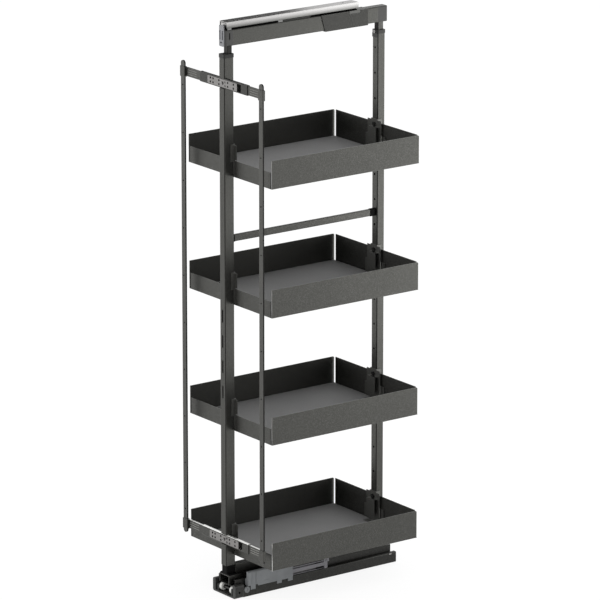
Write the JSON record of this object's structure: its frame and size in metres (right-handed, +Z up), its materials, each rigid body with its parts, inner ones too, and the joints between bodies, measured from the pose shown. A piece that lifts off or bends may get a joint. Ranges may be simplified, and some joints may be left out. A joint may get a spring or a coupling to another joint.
{
  "type": "pull-out pantry frame",
  "caption": "Tall pull-out larder frame: floor runner with soft close, telescopic uprights carrying open trays, a top guide, and a front frame that takes a cabinet door.",
  "frame": {"origin": "centre of the floor screw pattern, on the underside of the floor rail", "axes": "+Z up, -Y to the front (the door side, the way the frame pulls out), +X to the right seen from the front"},
  "size_m": [0.3454, 0.502, 1.446],
  "materials": {
    "anthracite": "fine metallic anthracite powder coat",
    "dark_steel": "dark powder coat",
    "block_plastic": "moulded, anthracite",
    "black_plastic": "moulded, satin",
    "zinc": "zinc plated",
    "soft_grey": "moulded, blue-grey",
    "white_nylon": "turned nylon",
    "clip_grey": "moulded, pale grey",
    "mat_grey": "anti-slip mat, fine grain"
  },
  "bodies": {
    "base": {"base_rail": "dark_steel", "base_front_cap": "black_plastic", "front_roller_axle": "dark_steel", "side_adjuster": "soft_grey", "soft_close_housing": "soft_grey", "soft_close_track": "soft_grey", "damper_cylinder": "zinc", "closing_spring": "zinc"},
    "front_wheels": {"front_rollers": "white_nylon"},
    "runner": {"middle_runner": "dark_steel", "runner_axle": "zinc", "runner_glide": "black_plastic"},
    "runner_wheels": {"runner_rollers": "white_nylon"},
    "frame": {"lower_beam": "anthracite", "beam_axle": "zinc", "soft_close_activator": "dark_steel", "front_foot": "black_plastic", "rear_foot": "black_plastic", "front_post": "anthracite", "rear_post": "anthracite", "front_collar": "block_plastic", "rear_collar": "block_plastic", "clamp_screws": "zinc", "mid_bar": "anthracite", "mid_bar_clips": "black_plastic", "tray_pins": "dark_steel", "door_plates": "zinc"},
    "beam_wheels": {"beam_rollers": "white_nylon"},
    "catch": {"soft_close_catch": "black_plastic", "damper_rod": "zinc"},
    "upper_frame": {"front_inner_tube": "anthracite", "rear_inner_tube": "anthracite", "top_beam": "anthracite", "top_sleeve": "anthracite", "top_end_blocks": "block_plastic", "top_clip": "clip_grey", "top_guide_inner": "zinc"},
    "guide_middle": {"top_guide_middle": "zinc"},
    "guide_rail": {"top_guide_rail": "zinc"},
    "door_centre": {"door_sleeve_top": "anthracite", "door_sleeve_bottom": "anthracite"},
    "door_left": {"left_strip": "anthracite", "left_arms": "anthracite", "left_clips": "anthracite"},
    "door_right": {"right_strip": "anthracite", "right_arms": "anthracite", "right_clips": "anthracite"},
    "tray_body_1": {"tray_1": "anthracite", "mat_1": "mat_grey", "hangers_1": "anthracite"},
    "tray_body_2": {"tray_2": "anthracite", "mat_2": "mat_grey", "hangers_2": "anthracite"},
    "tray_body_3": {"tray_3": "anthracite", "mat_3": "mat_grey", "hangers_3": "anthracite"},
    "tray_body_4": {"tray_4": "anthracite", "mat_4": "mat_grey", "hangers_4": "anthracite"}
  },
  "joints": [
    {"name": "pull_out", "type": "slide", "parent": "base", "child": "frame", "axis": [0, -1, 0], "range_m": [0, 0.46]},
    {"name": "runner_slide", "type": "slide", "parent": "base", "child": "runner", "axis": [0, -1, 0], "range_m": [0, 0.23]},
    {"name": "front_roller_spin", "type": "hinge", "parent": "base", "child": "front_wheels", "pos_m": [0, -0.2355, 0.015], "axis": [1, 0, 0], "continuous": true},
    {"name": "runner_roller_spin", "type": "hinge", "parent": "runner", "child": "runner_wheels", "pos_m": [0, 0.225, 0.0133], "axis": [1, 0, 0], "continuous": true},
    {"name": "beam_roller_spin", "type": "hinge", "parent": "frame", "child": "beam_wheels", "pos_m": [0, 0.225, 0.0346], "axis": [1, 0, 0], "continuous": true},
    {"name": "catch_slide", "type": "slide", "parent": "base", "child": "catch", "axis": [0, -1, 0], "range_m": [0, 0.05], "deforming": ["closing_spring"]},
    {"name": "height_adjust", "type": "slide", "parent": "frame", "child": "upper_frame", "axis": [0, 0, 1], "range_m": [-0.012, 0.25]},
    {"name": "guide_middle_slide", "type": "slide", "parent": "upper_frame", "child": "guide_middle", "axis": [0, 1, 0], "range_m": [0, 0.23]},
    {"name": "guide_rail_slide", "type": "slide", "parent": "upper_frame", "child": "guide_rail", "axis": [0, 1, 0], "range_m": [0, 0.46]},
    {"name": "door_shift", "type": "slide", "parent": "frame", "child": "door_centre", "axis": [1, 0, 0], "range_m": [-0.015, 0]},
    {"name": "door_left_width", "type": "slide", "parent": "door_centre", "child": "door_left", "axis": [-1, 0, 0], "range_m": [-0.006, 0.016]},
    {"name": "door_right_width", "type": "slide", "parent": "door_centre", "child": "door_right", "axis": [1, 0, 0], "range_m": [-0.006, 0.009]},
    {"name": "tray_1_lift", "type": "slide", "parent": "frame", "child": "tray_body_1", "axis": [0, 0, 1], "range_m": [0, 0.016]},
    {"name": "tray_2_lift", "type": "slide", "parent": "frame", "child": "tray_body_2", "axis": [0, 0, 1], "range_m": [0, 0.016]},
    {"name": "tray_3_lift", "type": "slide", "parent": "frame", "child": "tray_body_3", "axis": [0, 0, 1], "range_m": [0, 0.016]},
    {"name": "tray_4_lift", "type": "slide", "parent": "frame", "child": "tray_body_4", "axis": [0, 0, 1], "range_m": [0, 0.016]}
  ],
  "couplings": [
    {"joint": "runner_slide", "follows": "pull_out", "ratio": 0.5},
    {"joint": "front_roller_spin", "follows": "pull_out", "rad_per_m": 50},
    {"joint": "runner_roller_spin", "follows": "pull_out", "rad_per_m": 45.455},
    {"joint": "beam_roller_spin", "follows": "pull_out", "rad_per_m": 71.429},
    {"joint": "catch_slide", "follows": "pull_out", "ratio": 0.108},
    {"joint": "guide_middle_slide", "follows": "pull_out", "ratio": 0.5},
    {"joint": "guide_rail_slide", "follows": "pull_out", "ratio": 1}
  ]
}
